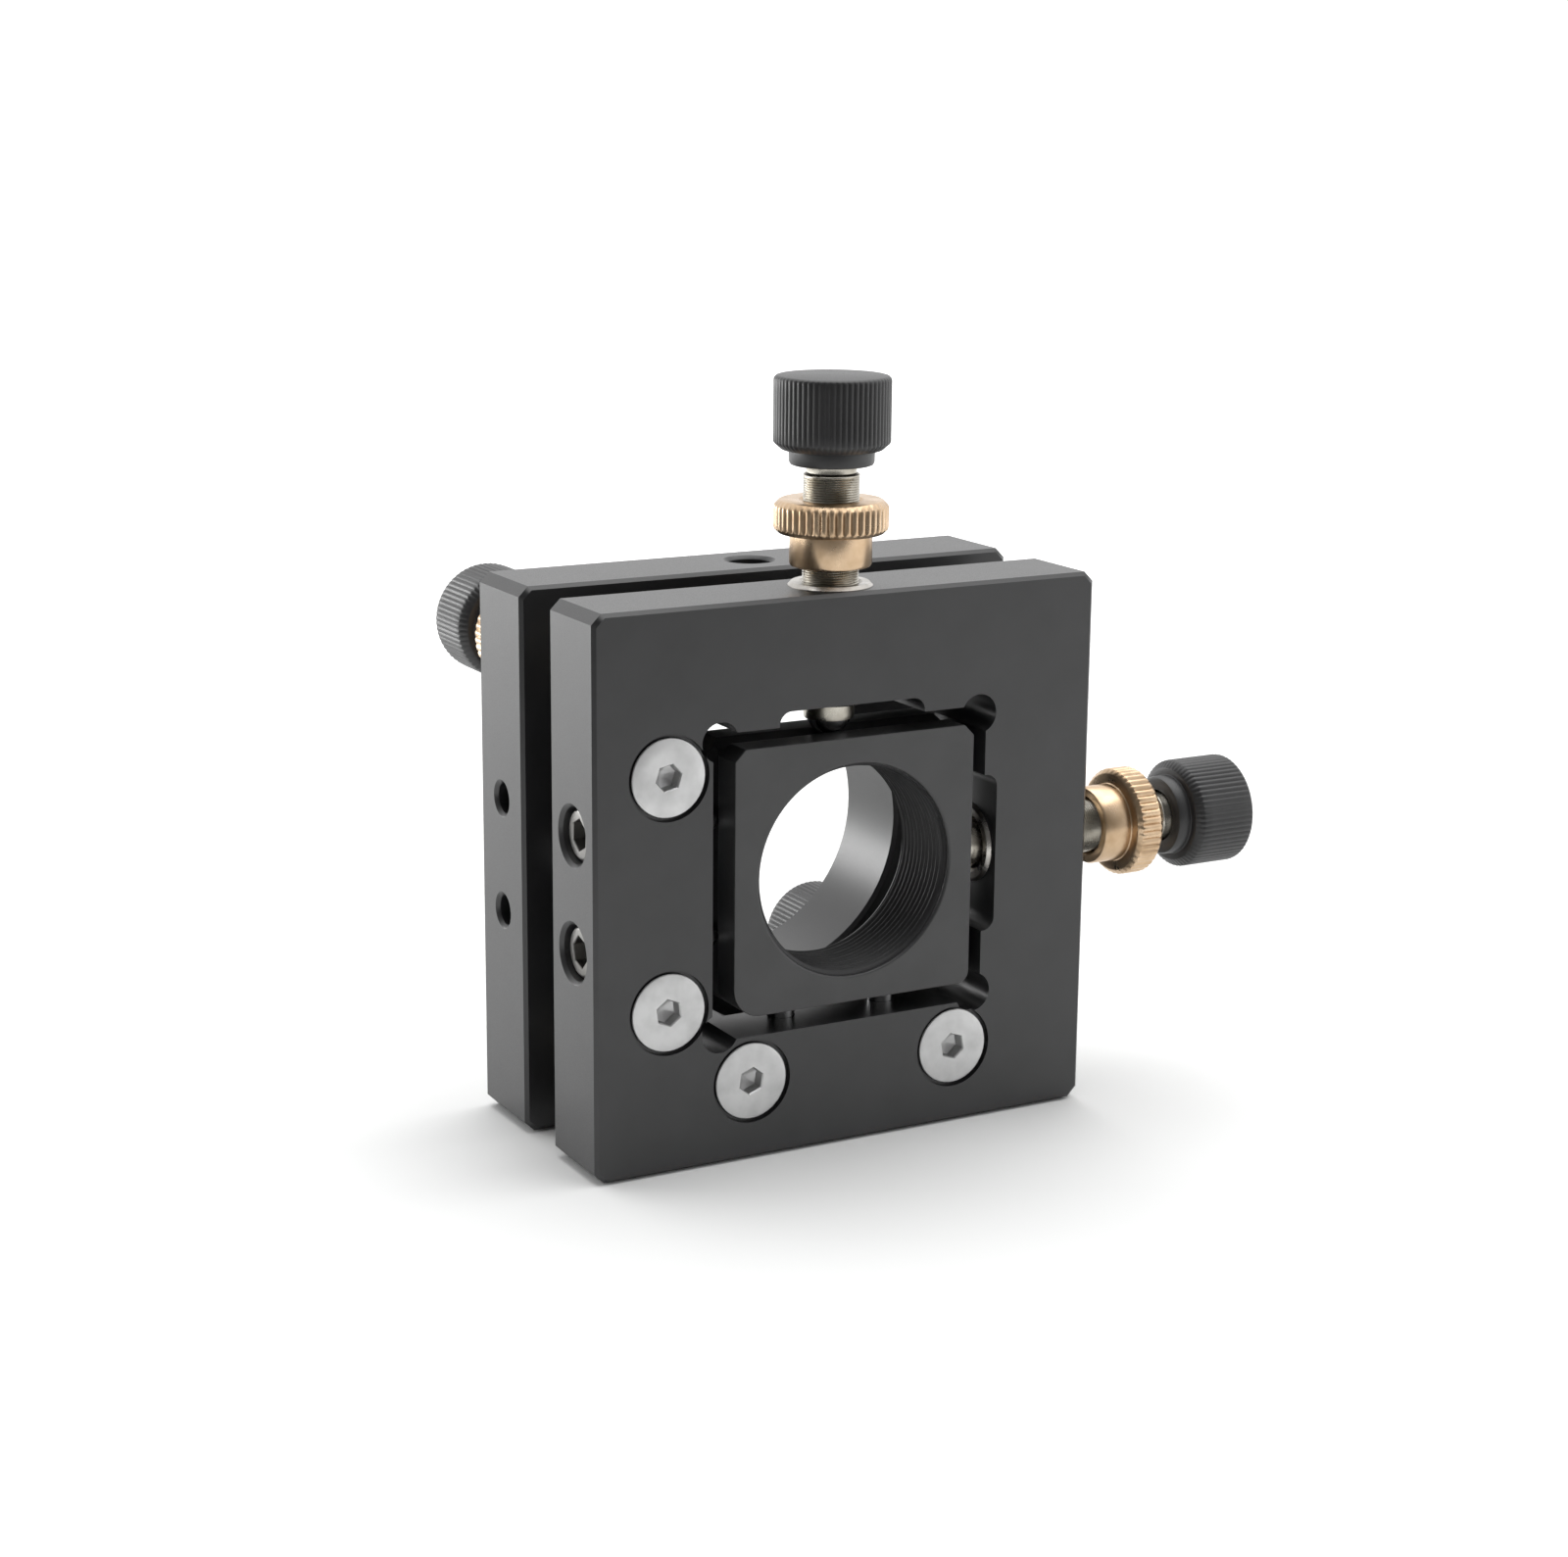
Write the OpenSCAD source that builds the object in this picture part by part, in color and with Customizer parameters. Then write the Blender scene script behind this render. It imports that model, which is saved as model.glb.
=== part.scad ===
// Four-axis kinematic mirror mount: a fixed rear plate, a front frame that tilts
// on a pivot ball, and a square optic cell that shifts across and up in the frame.
// X runs to the right, Y to the rear, Z up. The origin is the mouth of the post
// hole, in the middle of the rear plate's underside.

/* [Plates] */
// Width and height of both plates
plate_size = 60; // [60:1:64]
// Thickness of the rear plate
rear_thick = 11; // [11:0.5:13]
// Thickness of the front frame
front_thick = 10.5; // [10.5:0.5:12]
// Gap between the plates with the front frame square to the rear plate
plate_gap = 7.2; // [6.8:0.1:8]
// Bevel on the plates' four corners
corner_bevel = 1.1; // [0.6:0.1:2]
// Bevel round the plates' front and rear edges
edge_bevel = 0.4; // [0.2:0.1:0.6]
// Radius of the round opening through the rear plate
aperture_r = 16; // [13:0.5:16]

/* [Optic cell] */
// Width and height of the cell
cell_size = 29; // [28:0.5:30]
// Wall radius of the cell's tapped bore
cell_bore_r = 11.6; // [10:0.1:12.5]
// How far to the right of the middle the cell is set
cell_shift = 0.7; // [0:0.1:1]
// Width and height of the frame's window
window_size = 33; // [33:0.5:34]

/* [Adjusters] */
// Diameter of the adjusting screws
screw_d = 6; // [6]
// Radial clearance of the screws in their bushings and nuts
screw_play = 0.05; // [0.02:0.01:0.08]
// Diameter of the ball in the tip of each screw
tip_ball_d = 4.8; // [4.6:0.1:5]
// Distance from the tip ball's centre to the knob's neck, on the two screws that move the cell
cell_screw_reach = 26.3; // [26:0.1:28]
// Distance from the tip ball's centre to the knob's neck, on the two tilt screws
tilt_screw_reach = 27.3; // [26.5:0.1:28]
// Diameter of the knobs' knurled grip
knob_d = 12.3; // [11:0.1:13]
// Length of the knobs' knurled grip
knob_len = 7.7; // [5:0.1:8]
// Diameter of the lock nuts' knurled ring
nut_d = 12.1; // [11:0.1:13]
// How far the tilt screws and the pivot stand from the plates' centre
tilt_arm = 21.5; // [21:0.25:21.75]

/* [Fasteners] */
// Distance of the countersunk screws from the plates' centre line
screw_row = 21.5; // [21:0.25:21.75]
// Distance between the two countersunk screws of a row
screw_pitch = 25; // [24.5:0.25:25]
// How far the bottom row of screws and plungers stands to the right of the plates' centre line
bottom_shift = 0.75; // [0:0.25:1]
// Distance between the two spring plungers of a side
plunger_pitch = 12.5; // [11.5:0.5:12.5]

/* [Hidden] */

round_fn = 96;
cut = 1;                    // how far a cutting shape runs past the face it opens

// places along Y, from the rear plate's mid-plane
rear_back = rear_thick / 2;
rear_front = -rear_thick / 2;
frame_back = rear_front - plate_gap;
frame_front = frame_back - front_thick;
cell_plane = frame_back - front_thick / 2;
mid_z = plate_size / 2;
half_plate = plate_size / 2;

// window, its pockets and the round recess behind it
half_window = window_size / 2;
relief_r = 2.15;
relief_at = half_window - 0.9;
pocket_len = 17.5;
pocket_deep = 1.6;
pocket_r = 1.4;
pocket_floor = half_window + pocket_deep;
recess_r = 20;
recess_deep = 3;

// cell
cell_thick = front_thick - 0.5;
cell_y = frame_front + 0.25;
half_cell = cell_size / 2;
cell_bevel = 1.2;
cell_round = 3.2;
cell_small_round = 1.4;
bore_bevel = 0.4;
tip_vee = 1.6;              // half width of the grooves that the tip balls sit in
plunger_vee = 1.2;          // half width of the grooves that the plungers sit in
rest_gap = 0.03;            // gap left where a ball sits in a vee, a cone or on a flat

// adjusters
screw_r = screw_d / 2;
tip_ball_r = tip_ball_d / 2;
bushing_r = 4.5;
bushing_proud = 0.4;
bushing_bevel = 0.35;
nose_r = tip_ball_r + 0.32;
nose_len = 2.6;
socket_play = 0.05;
neck_r = 4.5;
neck_len = 1.6;
knob_bevel = 0.45;
knob_skirt = 0.8;
knob_socket = 6.5;
undercut_r = 2.65;
undercut_len = 0.8;
nut_hub_r = 4.35;
nut_hub_len = 3.5;
nut_ring_len = 3.5;
nut_bevel = 0.4;

// a ball in a right-angled groove stands this far above the groove's edges
function ball_height(r, half_width) = r * sqrt(2) - half_width + rest_gap * sqrt(2);
x_tip = cell_shift + half_cell + ball_height(tip_ball_r, tip_vee);
z_tip = half_cell + ball_height(tip_ball_r, tip_vee);
x_nut_at = 16.3;
z_nut_at = 15.7;
tilt_nut_at = 18.8;

// pivot and seats
pivot_r = 3;
post_r = 4;
post_end = frame_back + 1.5;
seat_r = 4.5;
seat_deep = 4.8;
seat_face = frame_back - 1.1;

// springs that pull the plates together
bar_thick = 3;
bar_sunk = 1.5;
bar_half_len = 16;
bar_near = 17.8;
bar_far = 27.2;
bar_gap = 0.2;
tilt_spring_r = 1.9;
tilt_wire_r = 0.3;
tilt_coils = 10;
spring_hole_r = 2.6;
left_spring_at = [-23.5, 0];
bottom_spring_at = [7, -23.5];
front_pin_r = 0.75;
front_pin_len = 6.4;
front_pin_y = frame_back - bar_sunk + front_pin_r;
rear_pin_r = 0.8;
rear_pin_len = 7.5;
rear_pin_y = rear_back - 1.6;
hook_r = 1.7;

// spring plungers and their set screws
plunger_r = 1.5;
plunger_play = 0.05;
guide_len = 3;
channel_r = 3;
plunger_reach = ball_height(plunger_r, plunger_vee);
shoulder_r = 2.6;
shoulder_len = 0.8;
left_shoulder = 4;          // from the window's wall to the shoulder
bottom_shoulder = 4.8;
set_screw_len = 3.2;
set_screw_sunk = 0.8;
set_hex = 3;
set_hex_deep = 2;
push_spring_r = 2.3;
push_wire_r = 0.22;
push_coils = 4;

// countersunk screws
csk_head_r = 4.2;
csk_r = 2;
csk_clear_r = 2.25;
csk_rim = 0.1;
csk_sunk = 0.1;
csk_sink_r = csk_head_r + csk_rim + csk_sunk + 0.02;
csk_hex = 2.5;
csk_hex_deep = 1.7;

// tapped holes of the rear plate
side_tap_r = 1.65;
side_tap_deep = 8;
post_tap_r = 2.5;
post_tap_deep = 10;
tap_bevel = 0.4;

black = [0.12, 0.12, 0.13];
knob_black = [0.09, 0.09, 0.1];
brass = [0.79, 0.63, 0.42];
steel = [0.74, 0.74, 0.75];
spring_steel = [0.6, 0.6, 0.62];

// ---- placing helpers: the shape's own +Z turns to the named direction ----

module facing_rear(x, y, z) translate([x, y, mid_z + z]) rotate([-90, 0, 0]) children();
module facing_front(x, y, z) translate([x, y, mid_z + z]) rotate([90, 0, 0]) children();
module facing_right(x, y, z) translate([x, y, mid_z + z]) rotate([0, 90, 0]) children();
module facing_left(x, y, z) translate([x, y, mid_z + z]) rotate([0, -90, 0]) children();
module facing_up(x, y, z) translate([x, y, mid_z + z]) children();
module facing_down(x, y, z) translate([x, y, mid_z + z]) rotate([180, 0, 0]) children();

module at_x_adjuster() facing_right(x_tip, cell_plane, 0) children();
module at_z_adjuster() facing_up(0, cell_plane, z_tip) children();
module at_pitch_adjuster() facing_rear(-tilt_arm, frame_back, tilt_arm) children();
module at_yaw_adjuster() facing_rear(tilt_arm, frame_back, -tilt_arm) children();

// ---- shared shapes ----

module rod(r, h) cylinder(r = r, h = h, $fn = round_fn);

module cone(r1, r2, h) cylinder(r1 = r1, r2 = r2, h = h, $fn = round_fn);

// a turned shape from its half outline
module turned(outline) rotate_extrude($fn = round_fn) polygon(outline);

// a square with four cut corners, standing in the XZ plane
module cut_square(size, bevel) {
    h = size / 2;
    k = h - bevel;
    polygon([[-k, -h], [k, -h], [h, -k], [h, k], [k, h], [-k, h], [-h, k], [-h, -k]]);
}

// a plate from its front face, with bevelled edges and corners
module plate(front, thick) {
    facing_rear(0, front, 0) hull() {
        translate([0, 0, edge_bevel])
            linear_extrude(thick - 2 * edge_bevel) cut_square(plate_size, corner_bevel);
        linear_extrude(thick)
            cut_square(plate_size - 2 * edge_bevel, corner_bevel - edge_bevel * 0.4);
    }
}

// a slot outline with round corners, from its middle
module round_slot(w, h, r) {
    square([w - 2 * r, h], center = true);
    square([w, h - 2 * r], center = true);
    for (sx = [-1, 1], sy = [-1, 1])
        translate([sx * (w / 2 - r), sy * (h / 2 - r)]) circle(r = r, $fn = 48);
}

// cutter for a tapped hole with a bevelled mouth, opening along +Z at z = 0
module tapped_hole(r, deep) {
    translate([0, 0, -deep]) rod(r, deep + cut);
    translate([0, 0, -tap_bevel]) cone(r, r + 2 * tap_bevel, 2 * tap_bevel);
}

// cutter for a hexagon socket, opening along +Z at z = 0
module hex_socket(across, deep) {
    translate([0, 0, -deep]) cylinder(r = across / sqrt(3), h = deep + cut, $fn = 6);
}

// a right-angled groove along X, cut into a face that looks along +Z
module vee_cut(half_width, length) {
    rotate([90, 0, 90]) translate([0, 0, -length / 2]) linear_extrude(length)
        polygon([[-half_width - cut, cut], [0, -half_width], [half_width + cut, cut]]);
}

// ---- wire swept along a path ----

function unit(v) = v / norm(v);
function tangent(path, i) =
    unit(path[min(i + 1, len(path) - 1)] - path[max(i - 1, 0)]);
function carried(side, t) = unit(side - (side * t) * t);
function sides(path, i = 0, last = [0.3, 0.5, 0.9]) =
    i == len(path) ? [] :
    let (s = carried(last, tangent(path, i))) concat([s], sides(path, i + 1, s));
function ring(path, side, i, r, n) =
    let (t = tangent(path, i), s = side[i], u = cross(t, s))
    [for (k = [0:n - 1]) path[i] + r * (cos(360 * k / n) * s + sin(360 * k / n) * u)];

module wire(path, r, n = 6) {
    side = sides(path);
    last = len(path) - 1;
    points = [for (i = [0:last]) each ring(path, side, i, r, n)];
    walls = [for (i = [0:last - 1], k = [0:n - 1]) let (a = i * n + k, b = i * n + (k + 1) % n)
        each [[a, b, b + n], [a, b + n, a + n]]];
    ends = [[for (k = [n - 1:-1:0]) k], [for (k = [0:n - 1]) last * n + k]];
    polyhedron(points = points, faces = concat(walls, ends), convexity = 8);
}

coil_steps = 10;
function coil(r, coils, from, to) = [for (i = [0:coils * coil_steps])
    let (a = 360 * i / coil_steps, f = i / (coils * coil_steps))
    [r * cos(a), r * sin(a), from + (to - from) * f]];
// a hook round a pin that lies along X, between its open end and the spring's axis
function hook(centre, up, outward = false) =
    [for (a = outward ? [-90:30:150] : [150:-30:-90]) [0, hook_r * cos(a), centre + up * hook_r * sin(a)]];

// ---- plates and cell ----

module rear_plate() color(black) difference() {
    plate(rear_front, rear_thick);
    facing_rear(0, rear_front - cut, 0) rod(aperture_r, rear_thick + 2 * cut);
    facing_front(0, rear_front + tap_bevel, 0) cone(aperture_r, aperture_r + 2 * tap_bevel, 2 * tap_bevel);
    facing_rear(0, rear_back - tap_bevel, 0) cone(aperture_r, aperture_r + 2 * tap_bevel, 2 * tap_bevel);
    facing_rear(-tilt_arm, rear_front - cut, tilt_arm) rod(bushing_r, rear_thick + 2 * cut);
    facing_rear(tilt_arm, rear_front - cut, -tilt_arm) rod(bushing_r, rear_thick + 2 * cut);
    facing_rear(-tilt_arm, rear_front - cut, -tilt_arm) rod(post_r, rear_thick + 2 * cut);
    for (at = [left_spring_at, bottom_spring_at])
        facing_rear(at[0], rear_front - cut, at[1]) rod(spring_hole_r, rear_thick + 2 * cut);
    pin_slot(left_spring_at, 90);
    pin_slot(bottom_spring_at, 0);
    for (s = [-1, 1]) facing_left(-half_plate, 0, s * plunger_pitch / 2) tapped_hole(side_tap_r, side_tap_deep);
    facing_up(0, 0, half_plate) tapped_hole(post_tap_r, post_tap_deep);
    facing_up(0, 0, -half_plate - cut) rod(post_tap_r, post_tap_deep + cut);
}

// slot in the rear face that a spring pin drops into
module pin_slot(at, turn) {
    facing_rear(at[0], rear_pin_y - rear_pin_r, at[1]) rotate(turn)
        translate([-rear_pin_len / 2, -rear_pin_r, 0]) cube([rear_pin_len, 2 * rear_pin_r, 2 * cut + 2]);
}

module front_frame() color(black) difference() {
    plate(frame_front, front_thick);
    facing_rear(0, frame_front - cut, 0) linear_extrude(front_thick + 2 * cut) window_outline();
    facing_rear(0, frame_back - recess_deep, 0) rod(recess_r, recess_deep + cut);
    facing_up(0, cell_plane, half_window) rod(bushing_r, half_plate - half_window + cut);
    facing_right(half_window, cell_plane, 0) rod(bushing_r, half_plate - half_window + cut);
    for (s = [-1, 1]) {
        facing_left(-half_window, cell_plane, s * plunger_pitch / 2) plunger_channel();
        facing_down(bottom_shift + s * plunger_pitch / 2, cell_plane, -half_window) plunger_channel();
    }
    for (at = [[-tilt_arm, -tilt_arm], [-tilt_arm, tilt_arm], [tilt_arm, -tilt_arm]])
        facing_rear(at[0], frame_back - seat_deep, at[1]) rod(seat_r, seat_deep + cut);
    at_countersunk_screws() {
        translate([0, 0, -cut]) rod(csk_clear_r, front_thick + 2 * cut);
        translate([0, 0, -cut]) cone(csk_sink_r + cut, csk_sink_r - 2.2, cut + 2.2);
    }
    bar_box(left_spring_at, 90, bar_sunk, cut);
    bar_box(bottom_spring_at, 0, bar_sunk, cut);
    for (at = [left_spring_at, bottom_spring_at])
        facing_rear(at[0], frame_back - bar_sunk - 0.7, at[1]) rod(spring_hole_r, bar_sunk);
}

// outline of the frame's window, seen from the front with Z downwards
module window_outline() {
    square(window_size, center = true);
    for (sx = [-1, 1], sy = [-1, 1]) translate([sx * relief_at, sy * relief_at]) circle(r = relief_r, $fn = 48);
    translate([0, -half_window]) round_slot(pocket_len, 2 * pocket_deep, pocket_r);
    translate([half_window, 0]) round_slot(2 * pocket_deep, pocket_len, pocket_r);
}

// cutter for a plunger's guide hole and the wider tapped hole behind it
module plunger_channel() {
    translate([0, 0, -cut]) rod(plunger_r + plunger_play, guide_len + 2 * cut);
    translate([0, 0, guide_len]) rod(channel_r, half_plate - half_window - guide_len + cut);
    translate([0, 0, half_plate - half_window - tap_bevel]) cone(channel_r, channel_r + 2 * tap_bevel, 2 * tap_bevel);
}

module at_countersunk_screws() {
    for (s = [-1, 1]) {
        facing_rear(-screw_row, frame_front, s * screw_pitch / 2) children();
        facing_rear(bottom_shift + s * screw_pitch / 2, frame_front, -screw_row) children();
    }
}

module optic_cell() color(black) difference() {
    facing_rear(cell_shift, cell_y, 0) linear_extrude(cell_thick) difference() {
        square(cell_size, center = true);
        for (s = [-1, 1]) translate([s * half_cell, -half_cell]) rotate(45)
            square(cell_bevel * sqrt(2), center = true);
        corner_rounding(-1, cell_round);
        corner_rounding(1, cell_small_round);
    }
    facing_rear(cell_shift, cell_y - cut, 0) rod(cell_bore_r, cell_thick + 2 * cut);
    facing_front(cell_shift, cell_y + bore_bevel, 0) cone(cell_bore_r - 0.2, cell_bore_r + bore_bevel, 0.2 + bore_bevel);
    facing_rear(cell_shift, cell_y + cell_thick - bore_bevel, 0) cone(cell_bore_r - 0.2, cell_bore_r + bore_bevel, 0.2 + bore_bevel);
    facing_up(cell_shift, cell_plane, half_cell) vee_cut(tip_vee, cell_size + 2 * cut);
    facing_right(cell_shift + half_cell, cell_plane, 0) vee_cut(tip_vee, cell_size + 2 * cut);
    facing_left(cell_shift - half_cell, cell_plane, 0) vee_cut(plunger_vee, cell_size + 2 * cut);
    facing_down(cell_shift, cell_plane, -half_cell) vee_cut(plunger_vee, cell_size + 2 * cut);
}

// what rounds one of the cell's lower corners off
module corner_rounding(side, r) {
    translate([side * (half_cell - r), half_cell - r]) difference() {
        translate([side > 0 ? 0 : -r - cut, 0]) square(r + cut);
        circle(r = r, $fn = 48);
    }
}

// ---- adjusters, drawn from the tip ball's centre towards the knob ----

module adjusting_screw(reach) color(steel) difference() {
    turned([
        [0, -0.5], [nose_r - 0.1, -0.5], [nose_r, 0], [nose_r, nose_len], [screw_r, nose_len + 0.3],
        [screw_r, reach - undercut_len], [undercut_r, reach - undercut_len + 0.3],
        [undercut_r, reach], [screw_r, reach],
        [screw_r, reach + knob_socket - 0.5], [0, reach + knob_socket - 0.5]
    ]);
    sphere(r = tip_ball_r + socket_play, $fn = round_fn);
}

module grip_knob(reach) color(knob_black) translate([0, 0, reach]) {
    end = neck_len + knob_len;
    r = knob_d / 2;
    turned([
        [screw_r, 0], [neck_r - 0.3, 0], [neck_r, 0.3], [neck_r, neck_len],
        [r - knob_skirt, neck_len], [r, neck_len + knob_skirt],
        [r, end - knob_bevel], [r - knob_bevel, end], [0, end],
        [0, knob_socket], [screw_r, knob_socket]
    ]);
}

module lock_nut(at) color(brass) translate([0, 0, at]) {
    end = nut_hub_len + nut_ring_len;
    r = nut_d / 2;
    bore = screw_r + screw_play;
    turned([
        [bore + nut_bevel, 0], [nut_hub_r - nut_bevel, 0], [nut_hub_r, nut_bevel], [nut_hub_r, nut_hub_len],
        [r - nut_bevel, nut_hub_len], [r, nut_hub_len + nut_bevel],
        [r, end - nut_bevel], [r - nut_bevel, end], [bore + nut_bevel, end],
        [bore, end - nut_bevel], [bore, nut_bevel]
    ]);
}

module tip_ball() color(steel) sphere(r = tip_ball_r, $fn = round_fn);

// threaded bushing from its inner end, pressed into a plate
module bushing(length) color(steel) {
    bore = screw_r + screw_play;
    turned([
        [bore + bushing_bevel, 0], [bushing_r - bushing_bevel, 0], [bushing_r, bushing_bevel],
        [bushing_r, length - bushing_bevel], [bushing_r - bushing_bevel, length],
        [bore + bushing_bevel, length], [bore, length - bushing_bevel], [bore, bushing_bevel]
    ]);
}

module x_screw() at_x_adjuster() adjusting_screw(cell_screw_reach);
module z_screw() at_z_adjuster() adjusting_screw(cell_screw_reach);
module pitch_screw() at_pitch_adjuster() adjusting_screw(tilt_screw_reach);
module yaw_screw() at_yaw_adjuster() adjusting_screw(tilt_screw_reach);

module x_knob() at_x_adjuster() grip_knob(cell_screw_reach);
module z_knob() at_z_adjuster() grip_knob(cell_screw_reach);
module pitch_knob() at_pitch_adjuster() grip_knob(tilt_screw_reach);
module yaw_knob() at_yaw_adjuster() grip_knob(tilt_screw_reach);

module x_lock_nut() at_x_adjuster() lock_nut(x_nut_at);
module z_lock_nut() at_z_adjuster() lock_nut(z_nut_at);
module pitch_lock_nut() at_pitch_adjuster() lock_nut(tilt_nut_at);
module yaw_lock_nut() at_yaw_adjuster() lock_nut(tilt_nut_at);

module x_tip_ball() at_x_adjuster() tip_ball();
module z_tip_ball() at_z_adjuster() tip_ball();
module pitch_tip_ball() at_pitch_adjuster() tip_ball();
module yaw_tip_ball() at_yaw_adjuster() tip_ball();

frame_bushing_len = half_plate - pocket_floor + 2 * bushing_proud;
rear_bushing_len = rear_thick + 2 * bushing_proud;
module x_bushing() facing_right(pocket_floor - bushing_proud, cell_plane, 0) bushing(frame_bushing_len);
module z_bushing() facing_up(0, cell_plane, pocket_floor - bushing_proud) bushing(frame_bushing_len);
module pitch_bushing() facing_rear(-tilt_arm, rear_front - bushing_proud, tilt_arm) bushing(rear_bushing_len);
module yaw_bushing() facing_rear(tilt_arm, rear_front - bushing_proud, -tilt_arm) bushing(rear_bushing_len);

// ---- pivot and seats ----

cone_depth = (pivot_r + rest_gap) * sqrt(2);
vee_depth = (tip_ball_r + rest_gap) * sqrt(2);

module pivot_ball() color(steel) facing_rear(-tilt_arm, frame_back, -tilt_arm) sphere(r = pivot_r, $fn = round_fn);

// fixed post with a cone-shaped cup in its front end and a screwdriver slot in its rear end
module pivot_post() color(steel) difference() {
    facing_rear(-tilt_arm, post_end, -tilt_arm) rod(post_r, rear_back - post_end);
    facing_rear(-tilt_arm, frame_back, -tilt_arm) cone(cone_depth, 0, cone_depth);
    facing_front(-tilt_arm, rear_back + cut, -tilt_arm)
        translate([-post_r - cut, -0.5, 0]) cube([2 * (post_r + cut), 1, cut + 1.2]);
}

module seat_disc() facing_rear(0, frame_back - seat_deep, 0) rod(seat_r, seat_face - frame_back + seat_deep);

module cone_seat() color(steel) translate([-tilt_arm, 0, -tilt_arm]) difference() {
    seat_disc();
    facing_front(0, frame_back, 0) cone(cone_depth, 0, cone_depth);
}

module vee_seat() color(steel) translate([-tilt_arm, 0, tilt_arm]) difference() {
    seat_disc();
    translate([0, frame_back, mid_z]) linear_extrude(2 * seat_r + 2 * cut, center = true)
        polygon([[-vee_depth, 0], [0, -vee_depth], [vee_depth, 0]]);
}

module flat_seat() color(steel)
    facing_rear(tilt_arm, frame_back - seat_deep, -tilt_arm)
        rod(seat_r, seat_deep - tip_ball_r - rest_gap);

// ---- springs that pull the front frame onto the pivot and the tilt screws ----

// block that a spring bar fills; the turn is 90 for the left bar, 0 for the bottom one
module bar_box(at, turn, depth, behind, gap = 0) {
    facing_rear(0, frame_back - depth, 0) rotate(turn)
        translate([-bar_half_len + gap, bar_near + gap, 0])
            cube([2 * (bar_half_len - gap), bar_far - bar_near - 2 * gap, depth + behind]);
}

module spring_bar(at, turn) color(black) difference() {
    bar_box(at, turn, bar_sunk, bar_thick - bar_sunk, 0.05);
    facing_rear(0, frame_back - bar_sunk - cut, 0) rod(recess_r + bar_gap, bar_thick + 2 * cut);
    facing_rear(at[0], frame_back - bar_sunk - cut, at[1]) rod(spring_hole_r, bar_thick + 2 * cut);
    facing_rear(at[0], frame_back - bar_sunk - cut, at[1]) rotate(turn)
        translate([-front_pin_len / 2, -front_pin_r, 0]) cube([front_pin_len, 2 * front_pin_r, 2 * front_pin_r + cut]);
    at_countersunk_screws() rod(csk_r, front_thick + bar_thick + cut);
}

module left_spring_bar() spring_bar(left_spring_at, 90);
module bottom_spring_bar() spring_bar(bottom_spring_at, 0);

// a spring pin lying across its hole
module spring_pin(at, y, turn, r, length) color(steel)
    facing_rear(at[0], y, at[1]) rotate(turn) translate([-length / 2, 0, 0]) rotate([0, 90, 0]) rod(r, length);

module front_spring_pins() {
    spring_pin(left_spring_at, front_pin_y, 90, front_pin_r, front_pin_len);
    spring_pin(bottom_spring_at, front_pin_y, 0, front_pin_r, front_pin_len);
}

module rear_spring_pins() {
    spring_pin(left_spring_at, rear_pin_y, 90, rear_pin_r, rear_pin_len);
    spring_pin(bottom_spring_at, rear_pin_y, 0, rear_pin_r, rear_pin_len);
}

// close-wound spring with a hook round the pin at each end
module tilt_spring(at, turn) color(spring_steel) {
    touch = tilt_wire_r + rest_gap;
    span = rear_pin_y - front_pin_y;
    front_hook = -front_pin_r - touch + hook_r;
    rear_hook = span + rear_pin_r + touch - hook_r;
    coil_from = front_hook + hook_r + 0.6;
    coil_to = rear_hook - hook_r - 0.6;
    facing_rear(at[0], front_pin_y, at[1]) rotate(turn) wire(concat(
        hook(front_hook, -1),
        [[tilt_spring_r * 0.6, 0, front_hook + hook_r + 0.2]],
        coil(tilt_spring_r, tilt_coils, coil_from, coil_to),
        [[tilt_spring_r * 0.6, 0, rear_hook - hook_r - 0.2]],
        hook(rear_hook, 1, true)
    ), tilt_wire_r);
}

module left_tilt_spring() tilt_spring(left_spring_at, 90);
module bottom_tilt_spring() tilt_spring(bottom_spring_at, 0);

// ---- fasteners ----

module countersunk_screws() color(steel) at_countersunk_screws() difference() {
    turned([
        [0, csk_sunk], [csk_head_r - 0.15, csk_sunk], [csk_head_r, csk_sunk + 0.15],
        [csk_head_r, csk_sunk + csk_rim], [csk_r, csk_sunk + csk_rim + csk_head_r - csk_r],
        [csk_r, front_thick + bar_thick - bar_sunk], [0, front_thick + bar_thick - bar_sunk]
    ]);
    translate([0, 0, csk_sunk]) rotate([180, 0, 0]) hex_socket(csk_hex, csk_hex_deep);
}

// set screw from the plate's outer face, inwards
module set_screw() color(steel) translate([0, 0, set_screw_sunk]) difference() {
    turned([
        [0, 0], [channel_r - 0.5, 0], [channel_r, 0.5],
        [channel_r, set_screw_len - 0.4], [channel_r - 0.4, set_screw_len], [0, set_screw_len]
    ]);
    rotate([180, 0, 0]) hex_socket(set_hex, set_hex_deep);
}

module at_left_plungers() {
    for (s = [-1, 1]) facing_right(-half_plate, cell_plane, s * plunger_pitch / 2) children();
}

module at_bottom_plungers() {
    for (s = [-1, 1]) facing_up(bottom_shift + s * plunger_pitch / 2, cell_plane, -half_plate) children();
}

module left_set_screws() at_left_plungers() set_screw();
module bottom_set_screws() at_bottom_plungers() set_screw();

// plunger from the plate's outer face inwards: a tail in the spring, a shoulder and a round-nosed pin
module plunger(nose, shoulder) color(steel) {
    back = half_plate - half_window - shoulder - shoulder_len;
    turned(concat(
        [[0, back - 1.5], [1.2, back - 1.5], [1.2, back], [shoulder_r, back], [shoulder_r, back + shoulder_len],
         [plunger_r, back + shoulder_len]],
        [for (a = [0:15:90]) [plunger_r * cos(a), nose + plunger_r * sin(a)]]
    ));
}

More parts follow.
